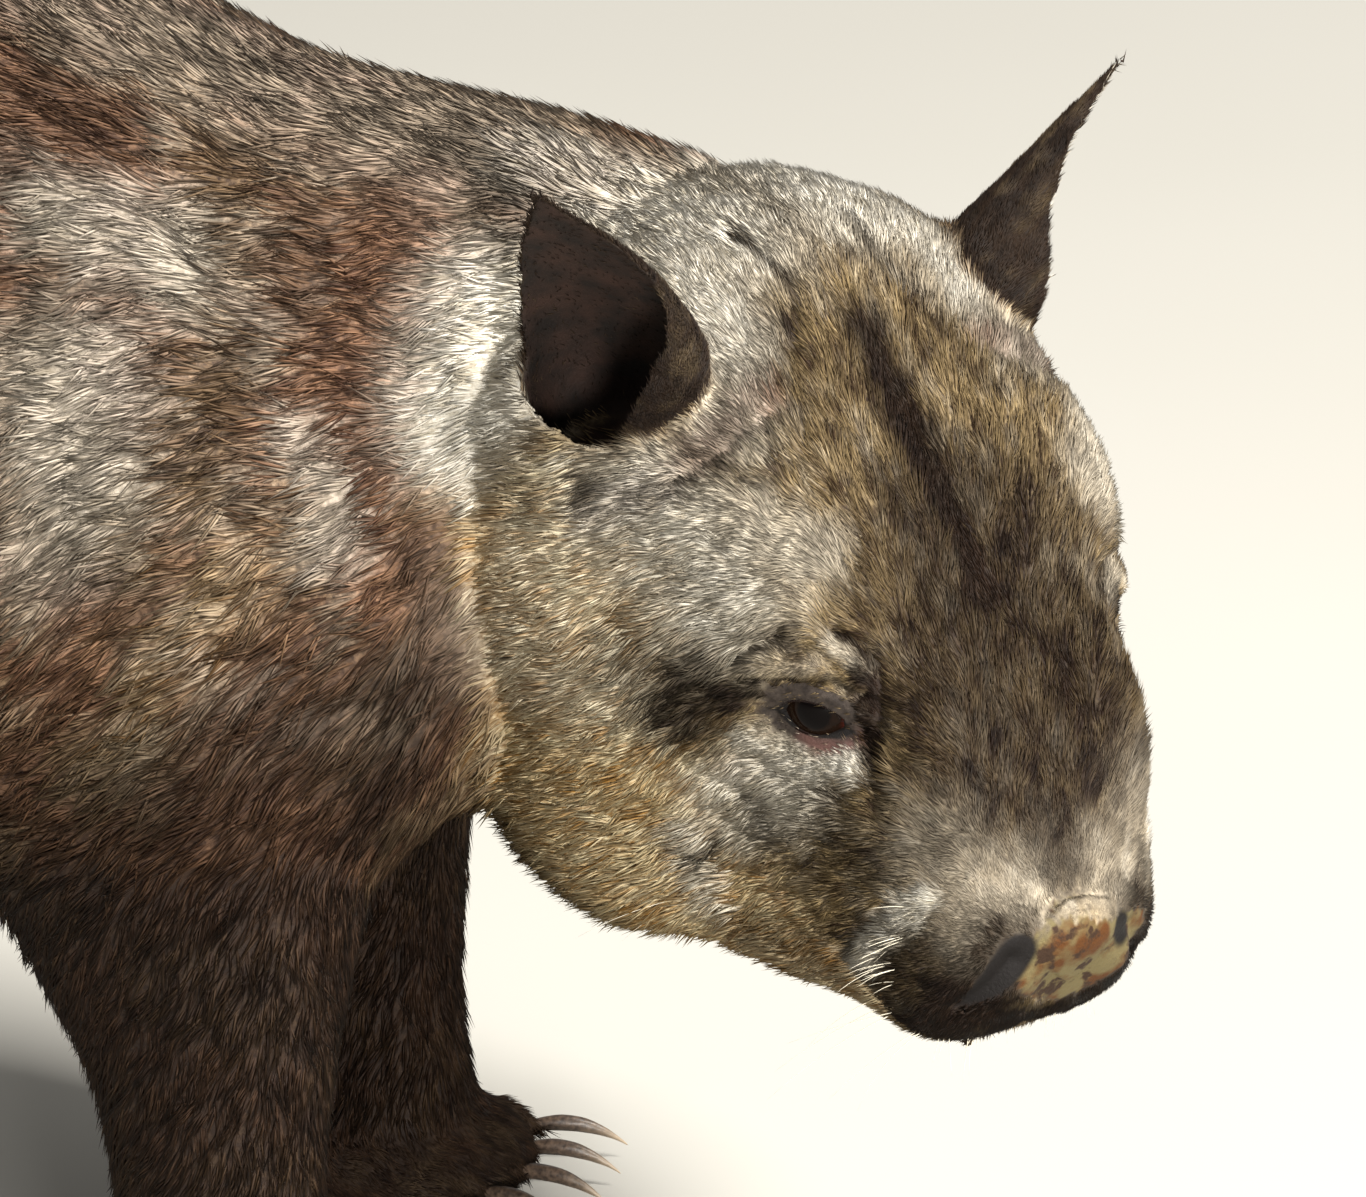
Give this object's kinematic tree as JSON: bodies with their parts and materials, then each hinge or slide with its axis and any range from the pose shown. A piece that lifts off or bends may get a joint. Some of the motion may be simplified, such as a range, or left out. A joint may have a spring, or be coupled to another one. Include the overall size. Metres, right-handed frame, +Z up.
{
  "type": "wombat model",
  "caption": "Life-size model of a southern hairy-nosed wombat, standing on all fours with its head lowered and turned to its right",
  "frame": {"origin": "on the floor, at the middle of the animal's floor plan", "axes": "+Z up, -Y the way the body faces, +X the animal's left"},
  "size_m": [0.2756, 0.746, 0.3276],
  "materials": {
    "coat_grey": "short grizzled fur, grey-buff with brown stripes",
    "coat_brown": "short dense fur, mottled brown with grey tips",
    "coat_dark": "short dark brown fur",
    "ear_skin": "thin bare skin, very dark brown",
    "nose_pad": "dry skin with fine short hair, cream to orange-brown",
    "eye_brown": "wet and very dark brown",
    "claw_horn": "dull horn, dark brown"
  },
  "bodies": {
    "root": {"torso": "coat_brown", "neck": "coat_brown", "head": "coat_grey", "nose": "nose_pad", "ear_left": "ear_skin", "ear_right": "ear_skin", "eye_left": "eye_brown", "eye_right": "eye_brown", "foreleg_left": "coat_brown", "foreleg_right": "coat_brown", "forefoot_left": "coat_dark", "forefoot_right": "coat_dark", "hindleg_left": "coat_brown", "hindleg_right": "coat_brown", "hindfoot_left": "coat_dark", "hindfoot_right": "coat_dark", "tail": "coat_dark", "claw_fore_left_1": "claw_horn", "claw_fore_left_2": "claw_horn", "claw_fore_left_3": "claw_horn", "claw_fore_left_4": "claw_horn", "claw_fore_left_5": "claw_horn", "claw_fore_right_1": "claw_horn", "claw_fore_right_2": "claw_horn", "claw_fore_right_3": "claw_horn", "claw_fore_right_4": "claw_horn", "claw_fore_right_5": "claw_horn", "claw_hind_left_1": "claw_horn", "claw_hind_left_2": "claw_horn", "claw_hind_left_3": "claw_horn", "claw_hind_left_4": "claw_horn", "claw_hind_right_1": "claw_horn", "claw_hind_right_2": "claw_horn", "claw_hind_right_3": "claw_horn", "claw_hind_right_4": "claw_horn"}
  },
  "joints": []
}
